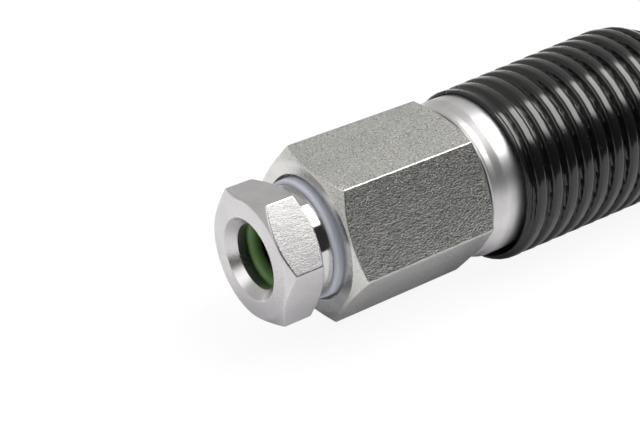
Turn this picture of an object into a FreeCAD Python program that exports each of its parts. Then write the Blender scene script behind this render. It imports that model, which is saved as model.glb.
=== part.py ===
import FreeCAD
import Part
import Sketcher
import math
import os

from FreeCAD import Placement, Rotation, Vector

# Hydraulic hose assembly: a plug-in socket, a two-braid hose in a ribbed guard, and a flat-face
# swivel nut. Millimetres. The origin is the centre of the socket's bore at its front edge, +X runs
# along the socket into the hose, and +Z is up. The guard rests on the ground.

doc = FreeCAD.newDocument("hose_assembly")
sheet = doc.addObject("Spreadsheet::Sheet", "Sizes")

driving_sizes = {
    # Gland nut, along X from the bore's front edge
    "nut_face_x": -1.4,
    "nut_hex_length": 6.75,
    "nut_af": 19.0,
    "nut_turn": 47.2,
    "nut_face_radius": 9.2,
    "nut_chamfer": 34.0,
    "socket_radius": 5.05,
    "collar_radius": 8.65,
    "collar_length": 2.15,
    "shank_length": 12.0,
    "gland_thread_radius": 8.0,
    "gland_thread_pitch": 1.5,
    "gland_thread_depth": 0.92,
    "gland_thread_root": 0.27,
    "gland_thread_flank": 60.0,
    "thread_relief_length": 4.0,
    "nose_cone_radius": 7.0,
    "wiper_groove_x": 1.4,
    "wiper_groove_width": 3.2,
    "wiper_groove_radius": 7.3,
    "wiper_section": 2.62,
    # Spacer ring between collar and counterbore
    "spacer_radius": 9.25,
    "spacer_length": 3.6,
    "spacer_round": 0.5,
    # Connector body
    "body_face_x": 8.7,
    "body_hex_length": 26.0,
    "body_af": 24.0,
    "body_turn": 4.0,
    "body_face_radius": 11.6,
    "body_chamfer": 29.0,
    "counterbore_radius": 9.75,
    "counterbore_depth": 2.5,
    "thread_runout": 0.9,
    "chamber_radius": 7.6,
    "plug_guide_length": 4.0,
    "flow_radius": 3.6,
    # Rings in the body's chamber
    "retaining_length": 3.6,
    "retaining_slot": 1.6,
    "retaining_tip": 0.6,
    "tension_length": 1.5,
    "support_length": 1.2,
    "backup_length": 1.1,
    "seal_section": 2.62,
    # Barbed tails, from the hexagon or the collar backwards
    "lock_neck_radius": 7.0,
    "lock_neck_length": 3.7,
    "lock_collar_radius": 8.2,
    "lock_collar_length": 1.8,
    "tail_length": 30.5,
    "barb_depth": 0.4,
    "barb_pitch": 5.0,
    "barb_width": 1.6,
    "barb_count": 5.0,
    # Ferrules
    "ferrule_length": 38.0,
    "ferrule_radius": 13.0,
    "ferrule_lip": 3.55,
    "ferrule_shoulder": 1.6,
    "crimp_depth": 0.3,
    "crimp_count": 8.0,
    "crimp_front": 8.0,
    "crimp_length": 24.0,
    "crimp_half_width": 4.7,
    "tooth_depth": 0.5,
    "tooth_pitch": 5.0,
    "tooth_gap": 2.0,
    "tooth_count": 5.0,
    # Hose layers
    "liner_bore_radius": 4.75,
    "inner_braid_radius": 6.3,
    "separator_radius": 7.1,
    "outer_braid_radius": 7.5,
    "cover_bore_radius": 8.3,
    "hose_radius": 9.9,
    # Ribbed guard
    "guard_wall": 1.85,
    "guard_rib_depth": 1.1,
    "guard_rib_pitch": 3.4,
    "guard_start": 4.95,
    "guard_neck_length": 10.0,
    "guard_swell": 0.45,
    "guard_lip_height": 0.7,
    "guard_crest_start": 0.22,
    "guard_crest_end": 0.68,
    "guard_valley_start": 0.9,
    "ground_flat": 0.5,
    # Flat-face end
    "stop_collar_length": 1.6,
    "head_radius": 8.9,
    "head_length": 8.0,
    "wire_radius": 0.8,
    "wire_from_face": 4.2,
    "nipple_face_round": 0.4,
    "swivel_af": 24.0,
    "swivel_turn": 12.0,
    "swivel_neck_radius": 11.2,
    "swivel_neck_length": 4.0,
    "swivel_gap": 0.3,
    "swivel_thread_radius": 9.6,
    "swivel_thread_free": 11.0,
    "swivel_mouth": 0.8,
    "swivel_chamfer": 30.0,
    "swivel_face_radius": 11.3,
    # Clearances
    "thread_clearance": 0.08,
    "ring_clearance": 0.1,
    "cone_clearance": 0.15,
    "seat_clearance": 0.05,
    "swivel_clearance": 0.08,
}

# Cutting outlines reach this many times as far out as the blank that they cut
PAST_BLANK = 1.6

for row, (alias, value) in enumerate(driving_sizes.items(), start=1):
    sheet.set(f"A{row}", alias)
    sheet.set(f"B{row}", str(value))
    sheet.setAlias(f"B{row}", alias)
doc.recompute()


def size(alias):
    """A driving size as a plain number."""
    return float(getattr(sheet, alias))


def plus(*terms):
    """An expression that adds sheet cells and other expressions."""
    return "(" + " + ".join(f"({term})" if " " in term else term for term in terms) + ")"


def cell(alias):
    return f"Sizes.{alias}"


def origin_plane(body, role):
    for feature in body.Origin.OriginFeatures:
        if feature.Role == role:
            return feature
    raise ValueError(role)


def outline_sketch(body, name, plane, loops):
    """A sketch of closed polygons, each corner held by expressions for its two coordinates."""
    sketch = body.newObject("Sketcher::SketchObject", name)
    sketch.AttachmentSupport = [(origin_plane(body, plane), "")]
    sketch.MapMode = "FlatFace"
    for loop in loops:
        first = sketch.GeometryCount
        count = len(loop)
        spots = []
        for index in range(count):
            angle = 2 * math.pi * index / count
            spots.append(Vector(math.cos(angle), math.sin(angle), 0) * 3 + Vector(5, 5, 0))
        for index in range(count):
            sketch.addGeometry(Part.LineSegment(spots[index], spots[(index + 1) % count]), False)
        for index in range(count):
            following = first + (index + 1) % count
            sketch.addConstraint(Sketcher.Constraint("Coincident", first + index, 2, following, 1))
        for index, (along, outward) in enumerate(loop):
            for kind, value, expression in (
                ("DistanceX", spots[index].x, along),
                ("DistanceY", spots[index].y, outward),
            ):
                number = sketch.addConstraint(Sketcher.Constraint(kind, first + index, 1, value))
                sketch.setExpression(f"Constraints[{number}]", expression)
    return sketch


def new_body(label):
    body = doc.addObject("PartDesign::Body", label)
    body.Label = label
    return body


def revolve(body, name, loops, cut=False):
    """Turns outlines drawn in the XZ plane, as X and radius, about the X axis."""
    sketch = outline_sketch(body, name + "_outline", "XZ_Plane", loops)
    kind = "PartDesign::Groove" if cut else "PartDesign::Revolution"
    feature = body.newObject(kind, name)
    feature.Profile = sketch
    feature.ReferenceAxis = (sketch, ["H_Axis"])
    feature.Angle = 360
    sketch.Visibility = False
    body.Tip = feature
    return feature


def round_edge(body, name, x, radius, rounding):
    """Rounds the circular edge that stands at this X with this radius."""
    base = body.Tip
    names = []
    for number, edge in enumerate(base.Shape.Edges, start=1):
        curve = edge.Curve
        if isinstance(curve, Part.Circle):
            if math.hypot(curve.Center.x - x, curve.Radius - radius) < 0.01:
                names.append(f"Edge{number}")
    fillet = body.newObject("PartDesign::Fillet", name)
    fillet.Base = (base, names)
    fillet.Radius = size(rounding)
    fillet.setExpression("Radius", cell(rounding))
    body.Tip = fillet
    return fillet


def hexagon_corners(across_flats, turn):
    """The corners of a hexagon whose first corner stands at the turn angle from +Y towards +Z."""
    corners = []
    for index in range(6):
        angle = f"({turn} + {60 * index}) * 1 deg"
        reach = f"{across_flats} / sqrt(3)"
        corners.append((f"{reach} * cos({angle})", f"{reach} * sin({angle})"))
    return corners


def cut_flats(body, name, across_flats, turn):
    """Cuts six flats on a turned blank. The blank is round out to the hexagon's corners."""
    hexagon = hexagon_corners(across_flats, turn)
    rim = [(f"{y} * {PAST_BLANK}", f"{z} * {PAST_BLANK}") for y, z in hexagon]
    sketch = outline_sketch(body, name + "_outline", "YZ_Plane", [rim, hexagon])
    return cut_through(body, name, sketch)


def cut_through(body, name, sketch):
    """Cuts a sketch through the whole body, both ways from its plane."""
    pocket = body.newObject("PartDesign::Pocket", name)
    pocket.Profile = sketch
    pocket.Type = "ThroughAll"
    pocket.Midplane = True
    sketch.Visibility = False
    body.Tip = pocket
    return pocket


def ring(label, start, length, inner, outer):
    """A plain turned ring with a rectangular section."""
    body = new_body(label)
    end = plus(start, length)
    revolve(body, label + "_turned", [[(start, inner), (end, inner), (end, outer), (start, outer)]])
    return body


def o_ring(label, centre_x, centre_radius, section):
    """A round-section ring about the X axis."""
    torus = doc.addObject("Part::Torus", label)
    torus.Label = label
    torus.setExpression("Radius1", centre_radius)
    torus.setExpression("Radius2", f"{section} / 2")
    torus.Placement = Placement(Vector(0, 0, 0), Rotation(Vector(0, 1, 0), 90))
    torus.setExpression("Placement.Base.x", centre_x)
    return torus


# Shared places along the socket
nut_rear_x = plus(cell("nut_face_x"), cell("nut_hex_length"))
collar_end_x = plus(nut_rear_x, cell("collar_length"))
shank_end_x = plus(collar_end_x, cell("shank_length"))
body_rear_x = plus(cell("body_face_x"), cell("body_hex_length"))
thread_bore_end_x = plus(shank_end_x, cell("thread_runout"))
tension_x = plus(shank_end_x, cell("retaining_length"))
support_x = plus(tension_x, cell("tension_length"))
backup_x = plus(support_x, cell("support_length"))
seal_start_x = plus(backup_x, cell("backup_length"), cell("ring_clearance"))
chamber_end_x = plus(seal_start_x, cell("seal_section"))
plug_guide_end_x = plus(chamber_end_x, cell("plug_guide_length"))
chamber_ring_radius = f"{cell('chamber_radius')} - {cell('seat_clearance')}"


def build_gland_nut():
    """Hexagon head, polished collar and threaded shank, bored for the plug."""
    body = new_body("gland_nut")
    face_x = cell("nut_face_x")
    corner_radius = f"{cell('nut_af')} / sqrt(3)"
    chamfer_depth = (
        f"({corner_radius} - {cell('nut_face_radius')}) * tan({cell('nut_chamfer')} * 1 deg)"
    )
    bore = cell("socket_radius")
    mouth = f"{bore} - {face_x}"
    groove_end = plus(cell("wiper_groove_x"), cell("wiper_groove_width"))
    thread = cell("gland_thread_radius")
    cone_depth = f"{cell('nose_cone_radius')} - {bore}"
    thread_root = f"{thread} - {cell('gland_thread_depth')}"
    profile = [
        ("0", bore),
        (cell("wiper_groove_x"), bore),
        (cell("wiper_groove_x"), cell("wiper_groove_radius")),
        (groove_end, cell("wiper_groove_radius")),
        (groove_end, bore),
        (f"{shank_end_x} - ({cone_depth})", bore),
        (shank_end_x, cell("nose_cone_radius")),
        (shank_end_x, thread_root),
        (f"{shank_end_x} - {cell('gland_thread_depth')}", thread),
        (collar_end_x, thread),
        (collar_end_x, cell("collar_radius")),
        (nut_rear_x, cell("collar_radius")),
        (nut_rear_x, cell("nut_face_radius")),
        (f"{nut_rear_x} - {chamfer_depth}", corner_radius),
        (f"{face_x} + {chamfer_depth}", corner_radius),
        (face_x, cell("nut_face_radius")),
        (face_x, mouth),
    ]
    revolve(body, "gland_nut_turned", [profile])
    cut_flats(body, "gland_nut_flats", cell("nut_af"), cell("nut_turn"))

    # The external thread runs from the relief behind the collar to past the shank's end
    start_x = plus(collar_end_x, cell("thread_relief_length"))
    root_half = f"{cell('gland_thread_root')} / 2"
    flank = f"{cell('gland_thread_depth')} * tan({cell('gland_thread_flank')} * 0.5 deg)"
    crest_half = plus(root_half, flank)
    groove = [
        (f"{start_x} - {crest_half}", thread),
        (f"{start_x} - {root_half}", thread_root),
        (f"{start_x} + {root_half}", thread_root),
        (f"{start_x} + {crest_half}", thread),
    ]
    sketch = outline_sketch(body, "gland_thread_outline", "XZ_Plane", [groove])
    helix = body.newObject("PartDesign::SubtractiveHelix", "gland_thread")
    helix.Profile = sketch
    helix.ReferenceAxis = (sketch, "H_Axis")
    helix.Mode = 0
    helix.setExpression("Pitch", cell("gland_thread_pitch"))
    helix.setExpression(
        "Height",
        f"{cell('shank_length')} - {cell('thread_relief_length')} + {cell('gland_thread_pitch')}",
    )
    helix.Angle = 0
    helix.LeftHanded = False
    helix.Reversed = False
    sketch.Visibility = False
    body.Tip = helix
    return body


def build_wiper_o_ring():
    centre_x = f"{cell('wiper_groove_x')} + {cell('wiper_groove_width')} / 2"
    centre_radius = (
        f"{cell('wiper_groove_radius')} - {cell('seat_clearance')} - {cell('wiper_section')} / 2"
    )
    return o_ring("wiper_o_ring", centre_x, centre_radius, cell("wiper_section"))


def build_spacer_ring():
    """Nylon ring on the shank, with a rounded front rim."""
    body = new_body("spacer_ring")
    inner = plus(cell("gland_thread_radius"), cell("ring_clearance"))
    outer = cell("spacer_radius")
    end = plus(collar_end_x, cell("spacer_length"))
    profile = [(collar_end_x, inner), (end, inner), (end, outer), (collar_end_x, outer)]
    revolve(body, "spacer_ring_turned", [profile])
    doc.recompute()
    front_x = size("nut_face_x") + size("nut_hex_length") + size("collar_length")
    round_edge(body, "spacer_ring_rim", front_x, size("spacer_radius"), "spacer_round")
    return body


def tail_profile(start, direction):
    """Outer outline of a crimp neck, lock collar and barbed tail, as X and radius."""
    def along(*terms):
        return f"{start} {direction} ({plus(*terms)})"

    neck_end = cell("lock_neck_length")
    collar_end = plus(neck_end, cell("lock_collar_length"))
    tail_end = plus(collar_end, cell("tail_length"))
    tip_bevel = cell("barb_depth")
    points = [
        (start, cell("lock_neck_radius")),
        (along(neck_end), cell("lock_neck_radius")),
        (along(neck_end), cell("lock_collar_radius")),
        (along(collar_end), cell("lock_collar_radius")),
        (along(collar_end), cell("liner_bore_radius")),
        (f"{start} {direction} ({tail_end} - {tip_bevel})", cell("liner_bore_radius")),
        (along(tail_end), f"{cell('liner_bore_radius')} - {tip_bevel}"),
        (along(tail_end), cell("flow_radius")),
    ]
    return points


def cut_barbs(body, name, start, direction):
    """Saw-tooth grooves round a tail, repeated along it."""
    first = plus(
        cell("lock_neck_length"), cell("lock_collar_length"), cell("barb_pitch")
    )
    crest = cell("liner_bore_radius")
    groove = [
        (f"{start} {direction} ({first})", crest),
        (f"{start} {direction} ({first})", f"{crest} - {cell('barb_depth')}"),
        (f"{start} {direction} ({plus(first, cell('barb_width'))})", crest),
    ]
    cut = revolve(body, name, [groove], cut=True)
    pattern = body.newObject("PartDesign::LinearPattern", name + "_row")
    pattern.Originals = [cut]
    pattern.Direction = (origin_plane(body, "X_Axis"), [""])
    pattern.Reversed = direction == "-"
    pattern.setExpression("Occurrences", cell("barb_count"))
    pattern.Length = (size("barb_count") - 1) * size("barb_pitch")
    pattern.setExpression("Length", f"({cell('barb_count')} - 1) * {cell('barb_pitch')}")
    body.Tip = pattern
    return pattern


def build_connector_body():
    """Hexagon body with the cartridge chamber in front and the hose tail behind."""
    body = new_body("connector_body")
    face_x = cell("body_face_x")
    corner_radius = f"{cell('body_af')} / sqrt(3)"
    chamfer_depth = (
        f"({corner_radius} - {cell('body_face_radius')}) * tan({cell('body_chamfer')} * 1 deg)"
    )
    thread_bore = plus(cell("gland_thread_radius"), cell("thread_clearance"))
    counterbore_end_x = plus(face_x, cell("counterbore_depth"))
    outside = [
        (body_rear_x, cell("body_face_radius")),
        (f"{body_rear_x} - {chamfer_depth}", corner_radius),
        (f"{face_x} + {chamfer_depth}", corner_radius),
        (face_x, cell("body_face_radius")),
        (face_x, cell("counterbore_radius")),
        (counterbore_end_x, cell("counterbore_radius")),
        (counterbore_end_x, thread_bore),
        (thread_bore_end_x, thread_bore),
        (thread_bore_end_x, cell("chamber_radius")),
        (chamber_end_x, cell("chamber_radius")),
        (chamber_end_x, cell("socket_radius")),
        (plug_guide_end_x, cell("socket_radius")),
        (plug_guide_end_x, cell("flow_radius")),
    ]
    tail = tail_profile(body_rear_x, "+")
    revolve(body, "connector_body_turned", [tail + outside[::-1]])
    cut_flats(body, "connector_body_flats", cell("body_af"), cell("body_turn"))
    cut_barbs(body, "connector_body_barb", body_rear_x, "+")
    return body


def build_retaining_ring():
    """Split steel ring. Its front cone seats in the gland nut's nose, its bore grips the plug."""
    body = new_body("retaining_ring")
    bore = plus(cell("socket_radius"), cell("ring_clearance"))
    cone_height = f"{cell('nose_cone_radius')} - {cell('socket_radius')}"
    tip = cell("retaining_tip")
    tip_x = f"{shank_end_x} - ({cone_height}) + {cell('cone_clearance')} + {tip}"
    tip_radius = plus(cell("socket_radius"), tip)
    shoulder_x = plus(shank_end_x, cell("cone_clearance"))
    profile = [
        (tip_x, bore),
        (tip_x, tip_radius),
        (shoulder_x, cell("nose_cone_radius")),
        (tension_x, cell("nose_cone_radius")),
        (tension_x, bore),
    ]
    revolve(body, "retaining_ring_turned", [profile])
    slot_half = f"{cell('retaining_slot')} / 2"
    far = cell("gland_thread_radius")
    slot = [
        (f"0 - {slot_half}", "0"),
        (slot_half, "0"),
        (slot_half, far),
        (f"0 - {slot_half}", far),
    ]
    sketch = outline_sketch(body, "retaining_slot_outline", "YZ_Plane", [slot])
    cut_through(body, "retaining_slot_cut", sketch)
    return body


def build_chamber_rings():
    """Tension ring, support ring, backup ring and main O-ring, in that order along the chamber."""
    bore = plus(cell("socket_radius"), cell("ring_clearance"))
    ring("tension_ring", tension_x, cell("tension_length"), bore, cell("nose_cone_radius"))
    ring("support_ring", support_x, cell("support_length"), bore, chamber_ring_radius)
    ring("backup_ring", backup_x, cell("backup_length"), bore, chamber_ring_radius)
    seal_x = f"{seal_start_x} + {cell('seal_section')} / 2"
    seal_radius = f"{chamber_ring_radius} - {cell('seal_section')} / 2"
    o_ring("main_o_ring", seal_x, seal_radius, cell("seal_section"))


def build_ferrule(label):
    """Crimped ferrule with its open end at X = 0 and its lip towards +X."""
    body = new_body(label)
    length = cell("ferrule_length")
    outer = cell("ferrule_radius")
    lip_bore = plus(cell("lock_neck_radius"), cell("seat_clearance"))
    lip_x = f"{length} - {cell('ferrule_lip')}"
    profile = [
        ("0", cell("hose_radius")),
        (lip_x, cell("hose_radius")),
        (lip_x, lip_bore),
        (length, lip_bore),
        (length, outer),
        ("0", outer),
    ]
    revolve(body, label + "_turned", [profile])
    doc.recompute()
    round_edge(
        body, label + "_shoulder", size("ferrule_length"), size("ferrule_radius"), "ferrule_shoulder"
    )

    tooth_start = cell("tooth_pitch")
    relief = [
        (tooth_start, cell("hose_radius")),
        (plus(tooth_start, cell("tooth_gap")), cell("hose_radius")),
        (plus(tooth_start, cell("tooth_gap")), plus(cell("hose_radius"), cell("tooth_depth"))),
        (tooth_start, plus(cell("hose_radius"), cell("tooth_depth"))),
    ]
    groove = revolve(body, label + "_tooth_gap", [relief], cut=True)
    teeth = body.newObject("PartDesign::LinearPattern", label + "_teeth")
    teeth.Originals = [groove]
    teeth.Direction = (origin_plane(body, "X_Axis"), [""])
    teeth.setExpression("Occurrences", cell("tooth_count"))
    teeth.Length = (size("tooth_count") - 1) * size("tooth_pitch")
    teeth.setExpression("Length", f"({cell('tooth_count')} - 1) * {cell('tooth_pitch')}")
    body.Tip = teeth

    # One die mark: a flat cut off the outside, repeated round the ferrule
    half_width = cell("crimp_half_width")
    flat_radius = f"{outer} - {cell('crimp_depth')}"
    mark = [
        (f"0 - {half_width}", flat_radius),
        (half_width, flat_radius),
        (half_width, f"{outer} * {PAST_BLANK}"),
        (f"0 - {half_width}", f"{outer} * {PAST_BLANK}"),
    ]
    sketch = outline_sketch(body, label + "_mark_outline", "YZ_Plane", [mark])
    sketch.setExpression(
        "AttachmentOffset.Base.z", f"{length} - {cell('crimp_front')} - {cell('crimp_length')}"
    )
    pocket = body.newObject("PartDesign::Pocket", label + "_mark")
    pocket.Profile = sketch
    pocket.Type = "Length"
    pocket.setExpression("Length", cell("crimp_length"))
    pocket.Reversed = True
    sketch.Visibility = False
    body.Tip = pocket
    marks = body.newObject("PartDesign::PolarPattern", label + "_marks")
    marks.Originals = [pocket]
    marks.Axis = (origin_plane(body, "X_Axis"), [""])
    marks.Angle = 360
    marks.setExpression("Occurrences", cell("crimp_count"))
    body.Tip = marks
    return body


def build_rear_nipple():
    """Barbed tail and flat sealing head, along +X from the rear ferrule's open end."""
    body = new_body("rear_nipple")
    half_groove = plus(cell("wire_radius"), cell("seat_clearance"))
    groove_radius = f"{wire_centre_radius} - {half_groove}"
    head = cell("head_radius")
    rounding = cell("nipple_face_round")
    front = [
        (head_face_x, cell("flow_radius")),
        (head_face_x, f"{head} - {rounding}"),
        (f"{head_face_x} - {rounding}", head),
        (f"{wire_x} + {half_groove}", head),
        (f"{wire_x} + {half_groove}", groove_radius),
        (f"{wire_x} - ({half_groove})", groove_radius),
        (f"{wire_x} - ({half_groove})", head),
        (lip_face_x, head),
    ]
    revolve(body, "rear_nipple_turned", [tail_profile(lip_face_x, "-") + front])
    cut_barbs(body, "rear_nipple_barb", lip_face_x, "-")
    return body


def build_swivel_nut():
    """Union nut on the head: round neck over the wire ring, hexagon over the thread."""
    body = new_body("swivel_nut")
    start_x = plus(lip_face_x, cell("stop_collar_length"), cell("swivel_gap"))
    neck_end = plus(start_x, cell("swivel_neck_length"))
    end_x = plus(head_face_x, cell("swivel_thread_free"))
    corner_radius = f"{cell('swivel_af')} / sqrt(3)"
    slope = f"tan({cell('swivel_chamfer')} * 1 deg)"
    front_depth = f"({corner_radius} - {cell('swivel_face_radius')}) * {slope}"
    rear_depth = f"({corner_radius} - {cell('swivel_neck_radius')}) * {slope}"
    bore = plus(cell("head_radius"), cell("swivel_clearance"))
    thread = cell("swivel_thread_radius")
    half_groove = plus(cell("wire_radius"), cell("swivel_clearance"))
    groove_radius = plus(wire_centre_radius, half_groove)
    thread_start = plus(head_face_x, cell("swivel_gap"))
    profile = [
        (start_x, bore),
        (f"{wire_x} - ({half_groove})", bore),
        (f"{wire_x} - ({half_groove})", groove_radius),
        (f"{wire_x} + {half_groove}", groove_radius),
        (f"{wire_x} + {half_groove}", bore),
        (thread_start, bore),
        (thread_start, thread),
        (f"{end_x} - {cell('swivel_mouth')}", thread),
        (end_x, plus(thread, cell("swivel_mouth"))),
        (end_x, cell("swivel_face_radius")),
        (f"{end_x} - {front_depth}", corner_radius),
        (f"{neck_end} + {rear_depth}", corner_radius),
        (neck_end, cell("swivel_neck_radius")),
        (start_x, cell("swivel_neck_radius")),
    ]
    revolve(body, "swivel_nut_turned", [profile])
    cut_flats(body, "swivel_nut_flats", cell("swivel_af"), cell("swivel_turn"))
    return body


# The free hose's centre line, from the front ferrule's open end at X = 0 to the rear ferrule's.
# Between the ferrules it sinks until the guard lies on the ground.
route_points = [
    Vector(0.0, 0.0, 0.0),
    Vector(50.0, 0.0, 0.0),
    Vector(106.9, -11.1, -1.6),
    Vector(162.7, -38.2, -3.0),
    Vector(213.9, -79.8, -3.0),
    Vector(250.7, -132.2, -3.0),
    Vector(274.9, -189.3, -1.6),
    Vector(284.0, -246.6, 0.0),
    Vector(284.0, -296.6, 0.0),
]


# An arc takes this share of the shorter of the two runs that it joins
ARC_SHARE = 0.45


def route_edges(points, lead):
    """Straight runs joined by tangent arcs, each end lengthened by a straight lead."""
    first_way = (points[1] - points[0]).normalize()
    last_way = (points[-1] - points[-2]).normalize()
    edges = []
    pen = points[0] - first_way * lead
    for before, corner, after in zip(points[:-2], points[1:-1], points[2:]):
        way_in = (corner - before).normalize()
        way_out = (after - corner).normalize()
        half_turn = way_in.getAngle(way_out) / 2
        shorter = min((corner - before).Length, (after - corner).Length)
        reach = ARC_SHARE * shorter
        radius = reach / math.tan(half_turn)
        inward = (way_out - way_in).normalize()
        arc_start = corner - way_in * reach
        arc_end = corner + way_out * reach
        middle = corner + inward * (radius / math.cos(half_turn) - radius)
        edges.append(Part.LineSegment(pen, arc_start).toShape())
        edges.append(Part.Arc(arc_start, middle, arc_end).toShape())
        pen = arc_end
    edges.append(Part.LineSegment(pen, points[-1] + last_way * lead).toShape())
    return edges


def build_hose():
    """Liner, braids and rubber layers: each is a rod along the centre line less the one inside."""
    lead = (
        size("ferrule_length")
        + size("seat_clearance")
        - size("lock_neck_length")
        - size("lock_collar_length")
        - size("ring_clearance")
    )
    edges = route_edges(route_points, lead)
    for edge in edges[1::2]:
        bend = edge.Curve
        turn = math.degrees(edge.Length / bend.Radius)
        print(f"hose bend: {turn:.1f} degrees, radius {bend.Radius:.0f} mm")
    line = doc.addObject("Part::Feature", "hose_centre_line")
    line.Shape = Part.Wire(edges)
    line.Placement = Placement(Vector(open_end_x, 0, 0), Rotation())
    names = [f"Edge{index + 1}" for index in range(len(edges))]
    radii = [
        ("liner_bore", cell("liner_bore_radius")),
        ("hose_liner", cell("inner_braid_radius")),
        ("inner_wire_braid", cell("separator_radius")),
        ("braid_separator", cell("outer_braid_radius")),
        ("outer_wire_braid", cell("cover_bore_radius")),
        ("hose_cover", cell("hose_radius")),
    ]
    inner_rod = None
    for label, radius in radii:
        section = doc.addObject("Part::Circle", label + "_section")
        section.setExpression("Radius", radius)
        section.Placement = Placement(
            Vector(open_end_x - lead, 0, 0), Rotation(Vector(0, 1, 0), 90)
        )
        rod = doc.addObject("Part::Sweep", label + "_rod")
        rod.Sections = [section]
        rod.Spine = (line, names)
        rod.Solid = True
        rod.Frenet = False
        if inner_rod is not None:
            layer = doc.addObject("Part::Cut", label)
            layer.Label = label
            layer.Base = rod
            layer.Tool = inner_rod
        inner_rod = rod
    doc.recompute()
    section_area = math.pi * size("hose_radius") ** 2
    rod_share = inner_rod.Shape.Volume / (section_area * line.Shape.Length)
    print(f"hose: {line.Shape.Length:.0f} mm long, volume {rod_share:.4f} of section times length")


def steady_circle(centre, way, radius):
    """A circle square to the hose whose seam always stands on the hose's left side."""
    left = Vector(0, 0, 1).cross(way).normalize()
    circle = Part.Circle(Vector(0, 0, 0), Vector(0, 0, 1), radius).toShape()
    circle.Placement = Placement(centre, Rotation(left, way.cross(left), way, "ZXY"))
    return Part.Wire([circle])


def build_ribbed_sleeve():
    """Ribbed guard round ferrules and hose: four circles a rib, flattened where it lies."""
    lead = size("ferrule_length") - size("guard_start")
    wire = Part.Wire(route_edges(route_points, lead))
    wire.translate(Vector(open_end_x, 0, 0))
    edges = wire.OrderedEdges
    ends = []
    total = 0.0
    for edge in edges:
        total += edge.Length
        ends.append(total)

    def place(distance):
        index = 0
        while index < len(edges) - 1 and distance > ends[index]:
            index += 1
        edge = edges[index]
        along = distance - (ends[index] - edge.Length)
        parameter = edge.getParameterByLength(min(max(along, 0.0), edge.Length))
        way = edge.tangentAt(parameter)
        return edge.valueAt(parameter), way

    def bore_radius(distance):
        from_end = min(distance, total - distance)
        on_ferrule = size("ferrule_radius") + size("seat_clearance")
        on_hose = size("hose_radius") + size("ring_clearance")
        past_ferrule = from_end - lead - size("guard_rib_pitch")
        share = min(max(past_ferrule / size("guard_neck_length"), 0.0), 1.0)
        ease = share * share * (3 - 2 * share)
        return on_ferrule + (on_hose - on_ferrule) * ease

    def crest_radius(distance):
        from_end = min(distance, total - distance)
        thinner = size("guard_swell") * max(1 - from_end / lead, 0.0)
        return bore_radius(distance) + size("guard_wall") - thinner

    rib_count = round(total / size("guard_rib_pitch"))
    pitch = total / rib_count
    rib_shape = [
        (0.0, True),
        (size("guard_crest_start"), False),
        (size("guard_crest_end"), False),
        (size("guard_valley_start"), True),
    ]
    rings = []
    bore_rings = []
    for rib in range(rib_count):
        for share, in_valley in rib_shape:
            distance = (rib + share) * pitch
            radius = crest_radius(distance) - (size("guard_rib_depth") if in_valley else 0.0)
            if rib == 0 and share == 0.0:
                radius = bore_radius(distance) + size("guard_lip_height")
            rings.append(steady_circle(*place(distance), radius))
        distance = rib * pitch
        bore_rings.append(steady_circle(*place(distance), bore_radius(distance)))
    last_radius = bore_radius(total) + size("guard_lip_height")
    rings.append(steady_circle(*place(total), last_radius))
    bore_rings.append(steady_circle(*place(total), bore_radius(total)))

    outside = Part.makeLoft(rings, True, True)
    inside = Part.makeLoft(bore_rings, True, True)
    hollow = outside.cut(inside)
    lowest = size("ferrule_radius") + size("seat_clearance") + size("guard_wall")
    ground = lowest - size("ground_flat")
    room = hollow.BoundBox
    width = room.XMax - room.XMin
    breadth = room.YMax - room.YMin
    slab = Part.makeBox(width, breadth, lowest, Vector(room.XMin, room.YMin, -ground - lowest))
    sleeve = doc.addObject("Part::Feature", "ribbed_sleeve")
    sleeve.Label = "ribbed_sleeve"
    sleeve.Shape = hollow.cut(slab)
    print(f"guard: {rib_count} ribs, pitch {pitch:.2f} mm, {total:.0f} mm long, ground {-ground:.2f}")
    return sleeve


# Shared places at the rear end, along +X from the rear ferrule's open end
lip_face_x = plus(cell("ferrule_length"), cell("seat_clearance"))
head_face_x = plus(lip_face_x, cell("stop_collar_length"), cell("head_length"))
wire_x = f"{head_face_x} - {cell('wire_from_face')}"
wire_centre_radius = f"({cell('head_radius')} + {cell('swivel_clearance')} / 2)"
open_end_x = (
    size("body_face_x") + size("body_hex_length") + size("seat_clearance") + size("ferrule_length")
)

build_gland_nut()
build_wiper_o_ring()
build_spacer_ring()
build_connector_body()
build_retaining_ring()
build_chamber_rings()
front_ferrule = build_ferrule("front_ferrule")
front_ferrule.Placement = Placement(Vector(open_end_x, 0, 0), Rotation(Vector(0, 0, 1), 180))
build_hose()
build_ribbed_sleeve()

rear_end = Vector(open_end_x, 0, 0) + route_points[-1]
last_way = route_points[-1] - route_points[-2]
rear_turn = math.degrees(math.atan2(last_way.y, last_way.x))
rear_place = Placement(rear_end, Rotation(Vector(0, 0, 1), rear_turn))
for rear_piece in (build_ferrule("rear_ferrule"), build_rear_nipple(), build_swivel_nut()):
    rear_piece.Placement = rear_place

retaining_wire = doc.addObject("Part::Torus", "nut_retaining_wire")
retaining_wire.Label = "nut_retaining_wire"
retaining_wire.setExpression("Radius1", wire_centre_radius)
retaining_wire.setExpression("Radius2", cell("wire_radius"))
wire_offset = (
    size("ferrule_length")
    + size("seat_clearance")
    + size("stop_collar_length")
    + size("head_length")
    - size("wire_from_face")
)
retaining_wire.Placement = rear_place * Placement(
    Vector(wire_offset, 0, 0), Rotation(Vector(0, 1, 0), 90)
)

doc.recompute()

sub_parts = [
    "gland_nut",
    "wiper_o_ring",
    "spacer_ring",
    "connector_body",
    "retaining_ring",
    "tension_ring",
    "support_ring",
    "backup_ring",
    "main_o_ring",
    "front_ferrule",
    "hose_liner",
    "inner_wire_braid",
    "braid_separator",
    "outer_wire_braid",
    "hose_cover",
    "ribbed_sleeve",
    "rear_ferrule",
    "rear_nipple",
    "nut_retaining_wire",
    "swivel_nut",
]

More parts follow.
